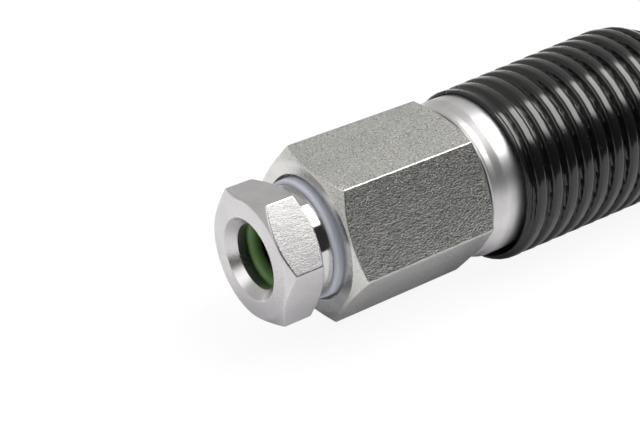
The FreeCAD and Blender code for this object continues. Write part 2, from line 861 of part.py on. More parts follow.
for item in doc.Objects:
    if "Invalid" in item.State or "Error" in item.State:
        raise RuntimeError(f"{item.Name} did not rebuild: {item.State}")

os.makedirs("parts", exist_ok=True)
for label in sub_parts:
    piece = doc.getObjectsByLabel(label)[0]
    if piece.Shape.isNull() or not piece.Shape.isValid():
        raise RuntimeError(f"{label} has no valid shape")
    piece.Shape.exportStep(f"parts/{label}.step")
    print(f"{label}: {len(piece.Shape.Solids)} solid, {piece.Shape.Volume:.0f} mm3")
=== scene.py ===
import math

import bpy
import numpy as np
from mathutils import Matrix, Vector


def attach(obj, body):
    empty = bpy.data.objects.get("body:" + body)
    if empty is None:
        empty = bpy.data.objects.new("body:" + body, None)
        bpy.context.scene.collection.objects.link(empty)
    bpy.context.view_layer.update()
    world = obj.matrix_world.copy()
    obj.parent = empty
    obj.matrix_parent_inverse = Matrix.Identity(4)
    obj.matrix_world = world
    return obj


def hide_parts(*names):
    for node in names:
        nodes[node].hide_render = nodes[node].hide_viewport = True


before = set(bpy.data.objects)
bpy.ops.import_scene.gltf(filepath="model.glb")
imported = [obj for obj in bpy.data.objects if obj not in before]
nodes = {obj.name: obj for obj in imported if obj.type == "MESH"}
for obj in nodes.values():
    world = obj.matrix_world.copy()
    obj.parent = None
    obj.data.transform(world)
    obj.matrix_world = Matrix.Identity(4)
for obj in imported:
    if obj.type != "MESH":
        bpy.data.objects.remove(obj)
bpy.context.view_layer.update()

# Viewpoint
# A long lens looks down at 32 degrees on the socket end, from its front left. The picture is
# 640 by 423, and the lens is given for a 36 mm wide sensor.
LOOKS_DOWN = math.radians(32.205)
TURNED_RIGHT = math.radians(35.952)

viewpoint = bpy.data.objects.new("viewpoint", bpy.data.cameras.new("viewpoint"))
viewpoint.data.sensor_fit = "HORIZONTAL"
viewpoint.data.sensor_width = 36
viewpoint.data.lens = 80.66
viewpoint.data.clip_start = 0.01
viewpoint.data.clip_end = 30
viewpoint.location = (-0.09352, -0.14457, 0.11602)
viewpoint.rotation_euler = (math.pi / 2 - LOOKS_DOWN, 0, -TURNED_RIGHT)
bpy.context.scene.collection.objects.link(viewpoint)
bpy.context.scene.camera = viewpoint

# Hose line
# The hose leaves the front ferrule straight, sinks until its guard lies on the ground, and turns
# a quarter to the side. Its own stiffness keeps the curve wide. The points are the same as in the
# solid model, in millimetres from the front ferrule's open end.
FRONT_OPEN_END = 0.07275
route = np.array([
    (0.0, 0.0, 0.0),
    (50.0, 0.0, 0.0),
    (106.9, -11.1, -1.6),
    (162.7, -38.2, -3.0),
    (213.9, -79.8, -3.0),
    (250.7, -132.2, -3.0),
    (274.9, -189.3, -1.6),
    (284.0, -246.6, 0.0),
    (284.0, -296.6, 0.0),
]) / 1000 + (FRONT_OPEN_END, 0, 0)
REAR_OPEN_END = route[-1]

hose_curve = bpy.data.curves.new("hose_line", "CURVE")
hose_curve.dimensions = "3D"
hose_curve.resolution_u = 32
hose_spline = hose_curve.splines.new("NURBS")
hose_spline.points.add(len(route) - 1)
hose_spline.points.foreach_set("co", np.c_[route, np.ones(len(route))].ravel())
hose_spline.order_u = 3
hose_spline.use_endpoint_u = True
hose_guide = bpy.data.objects.new("hose_line", hose_curve)
line_mesh = bpy.data.meshes.new_from_object(hose_guide)
hose_line = np.zeros(len(line_mesh.vertices) * 3)
line_mesh.vertices.foreach_get("co", hose_line)
hose_line = hose_line.reshape(-1, 3)
bpy.data.meshes.remove(line_mesh)
bpy.data.objects.remove(hose_guide)
bpy.data.curves.remove(hose_curve)

# Hose layers
# Two-braid hose: extruded rubber liner, braided brass-coated wire, a thin rubber layer, a second
# braid and a cloth-marked cover, cured together. The ferrules' lips hold it at both ends.
HOSE_START = 0.0403


def between_ferrules(lead):
    """The hose's line with a straight lead at each end: the spline's own points, and one point
    further out along the first and the last direction."""
    front = hose_line[0] - (lead, 0, 0)
    rear = hose_line[-1] - (0, lead, 0)
    return np.vstack([front, hose_line, rear])


class Along:
    """Places along a line by distance: the point there by linear interpolation, the way as the
    line's slope over 1.5 mm each side, left as up cross way, and up as way cross left."""

    REACH = 0.0015

    def __init__(self, line):
        self.line = line
        steps = np.linalg.norm(np.diff(line, axis=0), axis=1)
        self.reached = np.r_[0, np.cumsum(steps)]
        self.length = self.reached[-1]

    def point(self, distance):
        return np.stack([np.interp(distance, self.reached, self.line[:, k]) for k in range(3)], -1)

    def axes(self, distance):
        ahead = self.point(np.minimum(distance + self.REACH, self.length))
        way = ahead - self.point(np.maximum(distance - self.REACH, 0))
        way /= np.linalg.norm(way, axis=-1, keepdims=True)
        left = np.cross((0, 0, 1), way)
        left /= np.linalg.norm(left, axis=-1, keepdims=True)
        return left, np.cross(way, left)

    def sweep(self, distance, angles, radius):
        """Centre plus radius times (cosine left + sine up). Distance and radius have a row for
        each ring and a column for each angle."""
        left, up = self.axes(distance)
        spoke = np.cos(angles)[..., None] * left + np.sin(angles)[..., None] * up
        return self.point(distance) + radius[..., None] * spoke


def every_angle(column, angles):
    """The same value at every angle: a column repeated into a row for each ring."""
    return np.repeat(column[:, None], len(angles), 1)


def ring_mesh(name, rings, lengthwise):
    """A closed skin over rings of points: quads between each ring and the next, the last ring
    joined to the first. Its UV map holds the metres along the piece and the turns round it."""
    count, around = rings.shape[:2]
    i, j = np.meshgrid(np.arange(count), np.arange(around), indexing="ij")
    i_next = (i + 1) % count
    j_next = (j + 1) % around
    corners = np.stack([i * around + j, i * around + j_next,
                        i_next * around + j_next, i_next * around + j], -1).reshape(-1, 4)
    mesh = bpy.data.meshes.new(name)
    mesh.vertices.add(count * around)
    mesh.vertices.foreach_set("co", rings.astype(np.float32).ravel())
    mesh.loops.add(corners.size)
    mesh.loops.foreach_set("vertex_index", corners.astype(np.int32).ravel())
    mesh.polygons.add(len(corners))
    mesh.polygons.foreach_set("loop_start", np.arange(0, corners.size, 4, dtype=np.int32))
    mesh.update(calc_edges=True)
    mesh.polygons.foreach_set("use_smooth", np.ones(len(corners), bool))
    turn = np.stack([j, j + 1, j + 1, j], -1) / around
    metres = np.stack([lengthwise[i], lengthwise[i], lengthwise[i_next], lengthwise[i_next]], -1)
    run = mesh.uv_layers.new(name="run")
    run.data.foreach_set("uv", np.stack([metres, turn], -1).astype(np.float32).ravel())
    piece = bpy.data.objects.new(name, mesh)
    bpy.context.scene.collection.objects.link(piece)
    return piece


class Value:
    """One output of a finish's node tree. Sums, differences and products add Math nodes."""

    def __init__(self, finish, socket):
        self.finish = finish
        self.socket = socket

    def math(self, operation, *others):
        values = {f"_{k}": other for k, other in enumerate((self, *others))}
        return self.finish.add("Math", {"operation": operation}, **values)

    def __add__(self, other):
        return self.math("ADD", other)

    def __radd__(self, other):
        return self.math("ADD", other)

    def __sub__(self, other):
        return self.math("SUBTRACT", other)

    def __rsub__(self, other):
        return self.finish.add("Math", {"operation": "SUBTRACT"}, _0=other, _1=self)

    def __mul__(self, other):
        return self.math("MULTIPLY", other)

    def __rmul__(self, other):
        return self.math("MULTIPLY", other)

    def within(self, start, end):
        """0 at start, 1 at end, smooth between them and level outside. Start may be the larger."""
        return self.finish.add("MapRange", {"interpolation_type": "SMOOTHSTEP"},
                               Value=self, From_Min=start, From_Max=end)


class Finish:
    """A procedural material or surround, built node by node."""

    def __init__(self, name, owner=None):
        self.owner = owner or bpy.data.materials.new(name)
        self.owner.use_nodes = True
        self.tree = self.owner.node_tree
        self.tree.nodes.clear()

    def add(self, kind, settings=None, output=0, **sockets):
        """Adds a node, sets it up, then fills its sockets by name, or by number as _0, _1."""
        node = self.tree.nodes.new("ShaderNode" + kind)
        for name, value in (settings or {}).items():
            setattr(node, name, value)
        for name, value in sockets.items():
            key = int(name[1:]) if name[1:].isdigit() else name.replace("_", " ")
            if isinstance(value, Value):
                self.tree.links.new(value.socket, node.inputs[key])
            else:
                node.inputs[key].default_value = value
        return Value(self, node.outputs[output]) if len(node.outputs) else None

    def place(self, kind="Object"):
        return self.add("TexCoord", output=kind)

    def parts(self, vector):
        """The three numbers of a vector."""
        split = self.add("SeparateXYZ", Vector=vector)
        return [Value(self, socket) for socket in split.socket.node.outputs]

    def noise(self, vector, size, detail=2.0, roughness=0.5):
        """Noise whose lumps are about this many metres wide."""
        return self.add("TexNoise", Vector=vector, Scale=1 / size, Detail=detail, Roughness=roughness)

    def turned_noise(self, along, radius, size, detail):
        """Noise that is the same all the way round an axis, as a lathe leaves it."""
        return self.noise(self.add("CombineXYZ", X=along, Y=radius), size, detail)

    def blend(self, share, first, second):
        return self.add("Mix", {"data_type": "RGBA"}, output=2, _0=share, _6=first, _7=second)

    def bump(self, height, depth, under=None):
        """Relief of this depth in metres, over the relief under it."""
        extra = {} if under is None else {"Normal": under}
        return self.add("Bump", Height=height, Distance=depth, **extra)

    def surface(self, **sockets):
        self.add("OutputMaterial", Surface=self.add("BsdfPrincipled", **sockets))
        return self.owner


def distance_from(first, second):
    """How far out a spot is from an axis, by its two places across it."""
    return (first * first + second * second).math("SQRT")


def color_of(tone, lighter=1.0):
    """A tone made lighter or darker by a factor, as a colour."""
    return (*[lighter * part for part in tone], 1)


def dress(piece, material):
    """Puts one material on every face of a piece or a node."""
    piece.data.materials.clear()
    piece.data.materials.append(material)


def black_rubber(name, tone, cloth):
    """Cured rubber, cloudy between a grey tone and a lighter one. The wrap's cloth marks are a
    sine along the hose times a sine round it, and count by the share of cloth."""
    thread = 0.0009
    threads_round = 62
    finish = Finish(name)
    along, around, _ = finish.parts(finish.place("UV"))
    spot = finish.place()
    cloud = finish.noise(spot, 0.006, detail=4)
    weave = (along * (math.tau / thread)).math("SINE")
    weave = weave * (around * (math.tau * threads_round)).math("SINE")
    height = weave * cloth + finish.noise(spot, 0.0003, detail=3) * 0.6
    color = finish.blend(cloud, color_of((tone, tone, tone)), color_of((tone, tone, tone), 1.7))
    return finish.surface(Base_Color=color, Roughness=cloud * 0.2 + 0.5,
                          Normal=finish.bump(height, 0.00004))


def braided_wire(name):
    """Two sets of wire ribbons crossing at about 54 degrees to the hose, each ribbon of several
    wires. Which set lies over the other is the sign of the product of their sines."""
    ribbons = 20
    wires = 6
    lay = 0.033
    finish = Finish(name)
    along, around, _ = finish.parts(finish.place("UV"))
    one = (along * (1 / lay) + around) * ribbons
    other = (along * (1 / lay) - around) * ribbons
    over = ((one * math.pi).math("SINE") * (other * math.pi).math("SINE")).within(-0.2, 0.2)
    wire_one = (one * (math.tau * wires)).math("COSINE")
    wire_other = (other * (math.tau * wires)).math("COSINE")
    height = wire_one * over + wire_other * (1 - over)
    brass = finish.blend(finish.noise(finish.place(), 0.002, detail=3),
                         (0.42, 0.33, 0.16, 1), (0.62, 0.53, 0.33, 1))
    return finish.surface(Base_Color=brass, Metallic=1.0, Roughness=0.32 - height * 0.05,
                          Normal=finish.bump(height, 0.00012))


# Each layer's inner and outer radius, its material slot and its material, from the inside out.
layers = {
    "hose_liner": (0.00475, 0.0063, "hose_rubber", black_rubber("liner_rubber", 0.012, 0.0)),
    "inner_wire_braid": (0.0063, 0.0071, "braid_wire", braided_wire("inner_braid_wire")),
    "braid_separator": (0.0071, 0.0075, "hose_rubber", black_rubber("separator_rubber", 0.015, 0.0)),
    "outer_wire_braid": (0.0075, 0.0083, "braid_wire", braided_wire("outer_braid_wire")),
    "hose_cover": (0.0083, 0.0099, "cover_rubber", black_rubber("cover_rubber", 0.011, 1.0)),
}
hose_way = Along(between_ferrules(FRONT_OPEN_END - HOSE_START))
hose_turn = np.linspace(0, math.tau, 40, endpoint=False)
outward = np.linspace(0, hose_way.length, 190)
there_and_back = np.r_[outward, outward[::-1]]
layer_distance = every_angle(there_and_back, hose_turn)
for layer, (inner, outer, slot, material) in layers.items():
    wall = np.r_[np.full(len(outward), outer), np.full(len(outward), inner)]
    rings = hose_way.sweep(layer_distance, hose_turn, every_angle(wall, hose_turn))
    tube = ring_mesh(layer + "_tube", rings, there_and_back)
    dress(tube, material)
    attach(tube, "hose")
    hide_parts(layer)
    2 * outer

# Ribbed guard
# Spiral guard of glossy black polyamide, wound from one strip. It is pushed over both ferrules,
# hangs on them by its play, necks down to the hose behind them, and is cut off square at its ends.
GROUND = -0.0144
GUARD_START = 0.04025
GUARD_LEAD = FRONT_OPEN_END - GUARD_START
BORE_ON_FERRULE = 0.01325
BORE_ON_HOSE = 0.0100
NECK_REST = 0.001
NECK_LENGTH = 0.011
WALL = 0.00185
END_THINNING = 0.00082
LEAST_SKIN = 0.0001
CUT_EDGE = 0.00001

# The guard's middle hangs down and to the near side of the ferrules, and the bore keeps clear.
HANG = 0.00066
HANG_SIDE = math.radians(52)
HANG_LENGTH = 0.042
HANG_SLACK = 0.00015

# The ribs' pitch and depth, and their crest and low ridge in shares of the pitch.
RIB_PITCH = 0.00327
RIB_DEPTH = 0.00145
CREST_PHASE = 0.53
CREST_FRONT = 0.32
CREST_BACK = 0.42
RIDGE_AHEAD = 0.41
RIDGE_REACH = 0.06
RIDGE_HEIGHT = 0.35

guard_way = Along(between_ferrules(GUARD_LEAD))


def eased(share):
    """0 up to 0, 1 from 1 on, and three squares less two cubes of the share between them."""
    share = np.clip(share, 0, 1)
    return share * share * (3 - 2 * share)


def from_end(distance):
    """How far a place is from the nearer end of the guard."""
    return np.minimum(distance, guard_way.length - distance)


def neck(distance):
    """0 where the guard has the ferrules' size, 1 where it has the hose's."""
    return eased((from_end(distance) - GUARD_LEAD - NECK_REST) / NECK_LENGTH)


def hang(distance):
    """How far the guard's middle hangs off the ferrules' axis: less towards the hose."""
    return HANG * np.clip(1 - from_end(distance) / HANG_LENGTH, 0, 1)


def round_bore(distance):
    """The bore before it hangs: from the ferrules' size down to the hose's along the neck."""
    return BORE_ON_FERRULE + (BORE_ON_HOSE - BORE_ON_FERRULE) * neck(distance)


def guard_bore(distance, angles):
    """The round bore, and on the side where the guard rests on the ferrule as much further out as
    its middle hangs away from there, less some slack."""
    pressed = hang(distance) * np.cos(angles - HANG_SIDE) - HANG_SLACK
    return round_bore(distance) + np.maximum(pressed, 0) * (1 - neck(distance))


def guard_skin(distance, angles):
    """Round bore plus wall, less the relief of a left-handed helix: a wide flat-topped crest,
    steeper in front, and a low narrow ridge before it, with hollows between. Both are one less a
    power of the share of their reach. The wall is thinner towards the ends."""
    wall = WALL - END_THINNING * np.clip(1 - from_end(distance) / GUARD_LEAD, 0, 1)
    phase = (distance + GUARD_START) / RIB_PITCH + angles / math.tau - CREST_PHASE
    offset = (phase + 0.5) % 1 - 0.5
    reach = np.where(offset < 0, CREST_FRONT, CREST_BACK)
    crest = np.clip(1 - np.abs(offset / reach) ** 4, 0, 1) ** (1 / 2.2)
    ridge_offset = (phase + RIDGE_AHEAD + 0.5) % 1 - 0.5
    ridge = RIDGE_HEIGHT * np.clip(1 - (ridge_offset / RIDGE_REACH) ** 2, 0, 1) ** 0.5
    skin = round_bore(distance) + wall - RIB_DEPTH * (1 - np.maximum(crest, ridge))
    return np.maximum(skin, guard_bore(distance, angles) + LEAST_SKIN)


def black_polyamide():
    """Moulded gloss with faint flow marks, dust-dulled here and there, and a short seam on top of
    the first rib, where the strip starts."""
    seam_end = 0.046
    finish = Finish("black_polyamide")
    spot = finish.place()
    cloud = finish.noise(spot, 0.004, detail=5)
    dust = finish.noise(spot, 0.0007, detail=4).within(0.62, 0.78)
    color = finish.blend(dust, (0.004, 0.004, 0.0045, 1), (0.012, 0.012, 0.013, 1))
    waves = finish.noise(spot, 0.003, detail=1) + finish.noise(spot, 0.0005, detail=1) * 0.04
    x, y, z = finish.parts(spot)
    side = z * 0.47 - y * 0.883
    seam = side.within(-0.0004, -0.0001) * side.within(0.0002, -0.0001)
    seam = seam * x.within(seam_end + 0.0002, seam_end - 0.0002) * z.within(0.0, 0.002)
    relief = finish.bump(seam * -1, 0.0003, finish.bump(waves, 0.00003))
    return finish.surface(Base_Color=color, Roughness=cloud * 0.1 + 0.13 + dust * 0.12,
                          IOR=1.52, Coat_Weight=0.06, Coat_Roughness=0.1, Normal=relief)


# The ribs near the front end are meshed finely, the others more coarsely.
fine_end = 18 * RIB_PITCH
fine = np.arange(0, fine_end, RIB_PITCH / 26)
coarse = np.arange(fine_end, guard_way.length, RIB_PITCH / 10)
outside = np.r_[0, fine + CUT_EDGE, coarse, guard_way.length]
inside = np.linspace(guard_way.length, 0, 90)
lengthwise = np.r_[outside, inside]

guard_turn = np.linspace(0, math.tau, 48, endpoint=False)
guard_distance = every_angle(lengthwise, guard_turn)
skin_radius = guard_skin(guard_distance[:len(outside)], guard_turn)
bore_radius = guard_bore(guard_distance[len(outside):], guard_turn)
skin = guard_way.sweep(guard_distance, guard_turn, np.vstack([skin_radius, bore_radius]))
skin -= hang(guard_distance)[..., None] * (0, math.cos(HANG_SIDE), math.sin(HANG_SIDE))
skin[..., 2] = np.maximum(skin[..., 2], GROUND)
guard = ring_mesh("ribbed_guard", skin, lengthwise)
dress(guard, black_polyamide())
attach(guard, "hose")
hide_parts("ribbed_sleeve")

# Ferrules
# Turned from free-cutting steel, zinc plated, and pressed onto the hose by eight crimping dies.
# A rounded lip grips the groove behind the hexagon, and teeth inside bite the hose's cover.
FERRULE_RADIUS = 0.01295
CRIMP_START = 0.006
CRIMP_END = 0.030
CRIMP_RAMP = 0.001
CRIMP_ACROSS = 0.0254


class Machined:
    """Where a turned piece stands: a point on its axis, and the ways along, left and up."""

    def __init__(self, origin, way):
        self.origin = np.array(origin, float)
        self.way = np.array(way, float)
        self.left = np.cross((0, 0, 1), self.way)

    def rings(self, along, radius, angles):
        """Origin plus the distance along, plus radius times (cosine left + sine up)."""
        spoke = np.cos(angles)[..., None] * self.left + np.sin(angles)[..., None] * (0, 0, 1)
        return self.origin + along[:, None, None] * self.way + radius[..., None] * spoke


def outline(corners):
    """A closed outline through corners of (along, radius, rounding, step), in millimetres. Each
    corner is an arc of that rounding in five points, and each run has points a step apart at
    most, with one close to each arc so that the run stays flat."""
    spots = np.array([corner[:2] for corner in corners], float)
    runs = np.roll(spots, -1, 0) - spots
    lengths = np.linalg.norm(runs, axis=1)
    ways = runs / lengths[:, None]
    arcs = []
    for k, (_, _, rounding, _) in enumerate(corners):
        way_in = ways[k - 1]
        way_out = ways[k]
        side = np.sign(way_in[0] * way_out[1] - way_in[1] * way_out[0]) or 1.0
        half_turn = max(math.acos(np.clip(way_in @ way_out, -1, 1)) / 2, 1e-4)
        reach = min(rounding * math.tan(half_turn), 0.45 * lengths[k - 1], 0.45 * lengths[k])
        bend = reach / math.tan(half_turn)
        start = spots[k] - way_in * reach
        centre = start + side * bend * np.array([-way_in[1], way_in[0]])
        swing = side * 2 * half_turn * np.linspace(0, 1, 5)
        spoke = start - centre
        arcs.append(np.stack([centre[0] + spoke[0] * np.cos(swing) - spoke[1] * np.sin(swing),
                              centre[1] + spoke[0] * np.sin(swing) + spoke[1] * np.cos(swing)], -1))
    closed = []
    for k, (_, _, _, step) in enumerate(corners):
        start = arcs[k][-1]
        end = arcs[(k + 1) % len(corners)][0]
        length = np.linalg.norm(end - start)
        shares = np.linspace(0, 1, max(int(math.ceil(length / step)), 1) + 1)[1:-1]
        if length > 0.3:
            shares = np.unique(np.r_[0.08 / length, shares, 1 - 0.08 / length])
        closed += [arcs[k], start + shares[:, None] * (end - start)]
    closed = np.vstack(closed) / 1000
    return closed[:, 0], closed[:, 1]


def softer(first, second, width):
    """The smaller of two radii, with the crease between them rounded over this width."""
    share = np.clip(0.5 + 0.5 * (second - first) / width, 0, 1)
    return second + (first - second) * share - width * share * (1 - share)


def polygon_radius(angles, across, sides, turn, width):
    """How far out the flats of a bar lie at each angle: half the width across them over the
    cosine of the angle from the flat's middle, with rounded corners."""
    sector = math.tau / sides
    offset = (angles - math.radians(turn)) % sector - sector / 2
    flat = across / 2 / np.cos(offset)
    neighbour = across / 2 / np.cos(sector - np.abs(offset))
    return softer(flat, neighbour, width)


def turned_piece(name, seat, along, radius, angles, milled=None):
    """A turned and milled piece on its seat, with its milled share kept as an attribute."""
    piece = ring_mesh(name, seat.rings(along, radius, angles), along)
    share = piece.data.attributes.new("milled", "FLOAT", "POINT")
    values = np.zeros(radius.shape) if milled is None else milled
    share.data.foreach_set("value", values.astype(np.float32).ravel())
    return piece


def ferrule(name, lip):
    """The outline turned about the axis, pressed in to eight flats along its middle."""
    bore = 9.9
    corners = [
        (0.0, bore, 0.2, 2.0), (0.0, 12.95, 0.4, 1.0), (6.0, 12.95, 1.0, 0.5),
        (32.6, 12.95, 1.0, 0.4), (35.5, 12.97, 1.1, 0.2), (36.8, 12.49, 0.7, 0.15),
        (38.0, 12.26, 0.4, 0.15), (38.0, 7.05, 0.2, 1.0),
        (34.45, 7.05, 0.1, 2.0), (34.45, bore, 0.1, 2.0),
    ]
    for start in (25.0, 20.0, 15.0, 10.0, 5.0):
        corners += [(start + 2.0, bore, 0.05, 2.0), (start + 2.0, bore + 0.5, 0.05, 2.0),
                    (start, bore + 0.5, 0.05, 2.0), (start, bore, 0.05, 2.0)]
    along, radius = outline(corners)
    angles = np.linspace(0, math.tau, 160, endpoint=False)
    radii = every_angle(radius, angles)
    pressed = eased((along - CRIMP_START) / CRIMP_RAMP) * eased((CRIMP_END - along) / CRIMP_RAMP)
    flats = polygon_radius(angles, CRIMP_ACROSS, 8, 22.5, 0.0002)
    crimped = FERRULE_RADIUS - (FERRULE_RADIUS - flats) * pressed[:, None]
    radii = np.where(radii > 0.0115, softer(radii, crimped + 0.0001, 0.0002), radii)
    return turned_piece(name, lip, along, radii, angles)


def plated_steel(name, tone, cool, gloss, seat, grain=None, polished=None):
    """Zinc plate: a cloudy tint between two tones, fine rings from the lathe on turned faces, and
    the drawn bar's grain on milled ones. Grain is its size, depth, roughness and dark share.
    Polished is where a smoother band starts and ends along the axis."""
    finish = Finish(name)
    spot = finish.place()
    x, y, z = finish.parts(spot)
    if seat is rear_seat:
        along = y
        radius = distance_from(x - float(seat.origin[0]), z)
    else:
        along = x
        radius = distance_from(y, z)
    milled = finish.add("Attribute", {"attribute_name": "milled"}, output="Fac")
    cloud = finish.noise(spot, 0.0045, detail=4, roughness=0.6)
    rings = finish.turned_noise(along, radius, 0.00012, 3)
    broad_rings = finish.turned_noise(along, radius, 0.0009, 2)
    speck = finish.noise(spot, 0.00018, detail=3)
    tint = finish.blend(cloud.within(0.35, 0.65), color_of(tone), color_of(cool))
    relief = finish.bump((rings * 0.6 + broad_rings * 1.2) * (1 - milled), 0.0000035)
    relief = finish.bump(speck, 0.0000025, relief)
    rough = gloss + cloud * 0.08 + speck * 0.05
    if polished:
        start, end = polished
        band = along.within(start, start + 0.0002) * along.within(end, end - 0.0002)
        rough = rough * (1 - band * 0.75)
    if grain:
        size, depth, grain_rough, dark = grain
        drawn = finish.add("CombineXYZ", X=x * 0.7, Y=y, Z=z)
        sand = finish.noise(drawn, size, detail=3, roughness=0.6)
        pits = finish.noise(drawn, size * 2.7, detail=2).within(0.3, 0.75)
        relief = finish.bump((sand + pits * 0.25) * milled, depth, relief)
        pitted = milled * sand.within(0.55, 0.3) * dark
        tint = finish.blend(pitted, tint, color_of(tone, 0.4))
        rough = rough * (1 - milled) + (sand * 0.1 + grain_rough) * milled
    return finish.surface(Base_Color=tint, Metallic=1.0, Roughness=rough, Normal=relief)


socket_seat = Machined((0, 0, 0), (1, 0, 0))
front_lip = Machined((FRONT_OPEN_END, 0, 0), (-1, 0, 0))
rear_seat = Machined(REAR_OPEN_END, (0, -1, 0))
ferrule_tones = ((0.66, 0.65, 0.66), (0.58, 0.58, 0.61), 0.34)

front_ferrule = ferrule("front_ferrule_crimped", front_lip)
dress(front_ferrule, plated_steel("ferrule_zinc", *ferrule_tones, socket_seat))
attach(front_ferrule, "hose")
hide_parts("front_ferrule")

rear_ferrule = ferrule("rear_ferrule_crimped", rear_seat)
dress(rear_ferrule, plated_steel("rear_ferrule_zinc", *ferrule_tones, rear_seat))
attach(rear_ferrule, "hose")
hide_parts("rear_ferrule")

# Connector body
# Milled from 24 mm hexagon bar: the drawn bar's sandy skin stays on the flats, both ends are
# turned to a chamfer, and the front is counterbored for the white ring. Zinc plated.
BODY_ACROSS = 0.024
BODY_TURN = 4.0


def corner_rich(sides, turn, per_side):
    """Angles that crowd towards the corners of a bar: a sine of an even share of each side."""
    share = np.linspace(-1, 1, per_side, endpoint=False)
    sector = math.tau / sides
    one = sector / 2 * np.sin(share * math.pi / 2) + sector / 2
    return (math.radians(turn) + one + sector * np.arange(sides)[:, None]).ravel()


def hexagon_piece(name, seat, corners, across, turn, per_flat, cut_above, edge,
                  thread=None, cone_grain=0.0):
    """Turned outline, limited by six flats where it is wider than cut_above, with per_flat angles
    to each. The milled share is how far the flats cut below the turned radius, and cone_grain on
    the turned cones. A thread is a right-handed helix, given by its start, end, pitch, depth and
    the radii it lies between: a tooth rises with the distance from its root in half pitches."""
    along, radius = outline(corners)
    angles = corner_rich(6, turn, per_flat)
    radii = every_angle(radius, angles)
    flats = polygon_radius(angles, across, 6, turn, edge)[None]
    outer = radius[:, None] > cut_above
    cone = np.clip((radius - cut_above - 0.0015) / 0.0003, 0, 1)[:, None]
    cut = np.clip((radii - flats) / 0.00025, 0, 1)
    milled = np.where(outer, np.maximum(cut, cone * cone_grain), 0)
    radii = np.where(outer, softer(radii, flats, edge), radii)
    if thread:
        start, end, pitch, depth, lowest, highest = thread
        phase = (along[:, None] / pitch - angles / math.tau) % 1
        tooth = np.clip((np.abs(phase - 0.5) * 2 - 0.08) / 0.84, 0, 1)
        here = eased((along - start) / pitch) * eased((end - along) / (0.3 * pitch))
        threaded = (radius > lowest) & (radius < highest)
        radii = radii + np.where(threaded, here, 0)[:, None] * depth * tooth
    return turned_piece(name, seat, along, radii, angles, milled)


body_outline = [
    (8.7, 9.75, 0.12, 0.5), (8.7, 11.6, 0.25, 0.09), (10.06, 14.2, 0.2, 0.6),
    (33.34, 14.2, 0.2, 0.09), (34.7, 11.6, 0.25, 0.6), (34.7, 7.0, 0.2, 2.0),
    (38.4, 7.0, 0.1, 2.0), (38.4, 8.2, 0.2, 2.0), (40.2, 8.2, 0.2, 2.0), (40.2, 4.75, 0.1, 2.0),
]
for barb_start in (45.2, 50.2, 55.2, 60.2, 65.2):
    body_outline += [(barb_start, 4.75, 0.05, 2.0), (barb_start, 4.35, 0.05, 2.0),
                     (barb_start + 1.6, 4.75, 0.05, 2.0)]
body_outline += [
    (70.3, 4.75, 0.05, 2.0), (70.7, 4.35, 0.05, 2.0), (70.7, 3.6, 0.05, 4.0), (33.62, 3.6, 0.1, 2.0),
    (33.62, 5.05, 0.05, 2.0), (29.62, 5.05, 0.1, 2.0), (29.62, 7.6, 0.1, 2.0), (20.4, 7.6, 0.1, 1.0),
    (20.4, 8.08, 0.1, 2.0), (11.2, 8.08, 0.15, 1.0), (11.2, 9.75, 0.1, 1.0),
]
body = hexagon_piece("connector_body_milled", socket_seat, body_outline, BODY_ACROSS, BODY_TURN,
                     per_flat=43, cut_above=0.0102, edge=0.00016, cone_grain=0.7)
dress(body, plated_steel("body_zinc", (0.66, 0.66, 0.64), (0.60, 0.61, 0.60), 0.2, socket_seat,
                         grain=(0.00022, 0.000065, 0.2, 0.8)))
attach(body, "hose")
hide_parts("connector_body")

# Rings in the chamber
# In the order in which they go in: the split steel ring that locks the plug, the amber ring that
# takes up its play, a steel washer, a white hard ring and the black O-ring that seals on the plug.


def seal_rubber(name, tone, light, sheen):
    """Moulded elastomer: cloudy between two tones, with a fine grain in its relief."""
    finish = Finish(name)
    spot = finish.place()
    cloud = finish.noise(spot, 0.0016, detail=4)
    color = finish.blend(cloud, color_of(tone), color_of(light))
    return finish.surface(Base_Color=color, Roughness=cloud * 0.15 + sheen,
                          Normal=finish.bump(finish.noise(spot, 0.00022, detail=3), 0.000006))


def turned_ring(name, tone, gloss, metallic):
    """A small turned ring: lathe lines round it, in its relief and in a slightly uneven tone."""
    finish = Finish(name)
    x, y, z = finish.parts(finish.place())
    lines = finish.turned_noise(x, distance_from(y, z), 0.00015, 3)
    light = [min(1.25 * part, 0.95) for part in tone]
    color = finish.blend(lines, color_of(tone), color_of(light))
    return finish.surface(Base_Color=color, Metallic=metallic, Roughness=lines * 0.15 + gloss,
                          Normal=finish.bump(lines, 0.000005))


chamber_rings = {
    "retaining_ring": turned_ring("oiled_spring_steel", (0.24, 0.24, 0.25), 0.25, 1.0),
    "tension_ring": seal_rubber("amber_polyurethane", (0.42, 0.27, 0.06), (0.55, 0.38, 0.12), 0.3),
    "support_ring": turned_ring("bright_washer", (0.5, 0.5, 0.5), 0.22, 1.0),
    "backup_ring": turned_ring("white_hard_ring", (0.75, 0.75, 0.72), 0.45, 0.0),
    "main_o_ring": seal_rubber("black_nitrile", (0.012, 0.012, 0.012), (0.022, 0.022, 0.022), 0.35),
}
for node, material in chamber_rings.items():
    dress(nodes[node], material)

# Spacer ring
# Turned nylon with a milky, slightly blue look. It rides on the gland nut's shank behind the
# polished collar, and sits in the body's counterbore.


def milky_nylon():
    """Nylon that looks as if it let a little light in: bluish white, satin, with turning lines."""
    finish = Finish("milky_nylon")
    spot = finish.place()
    x, y, z = finish.parts(spot)
    lines = finish.turned_noise(x, distance_from(y, z), 0.0002, 2)
    cloud = finish.noise(spot, 0.003, detail=3)
    color = finish.blend(cloud, (0.48, 0.50, 0.59, 1), (0.57, 0.59, 0.68, 1))
    return finish.surface(Base_Color=color, Roughness=lines * 0.1 + 0.5,
                          Normal=finish.bump(lines, 0.000006))


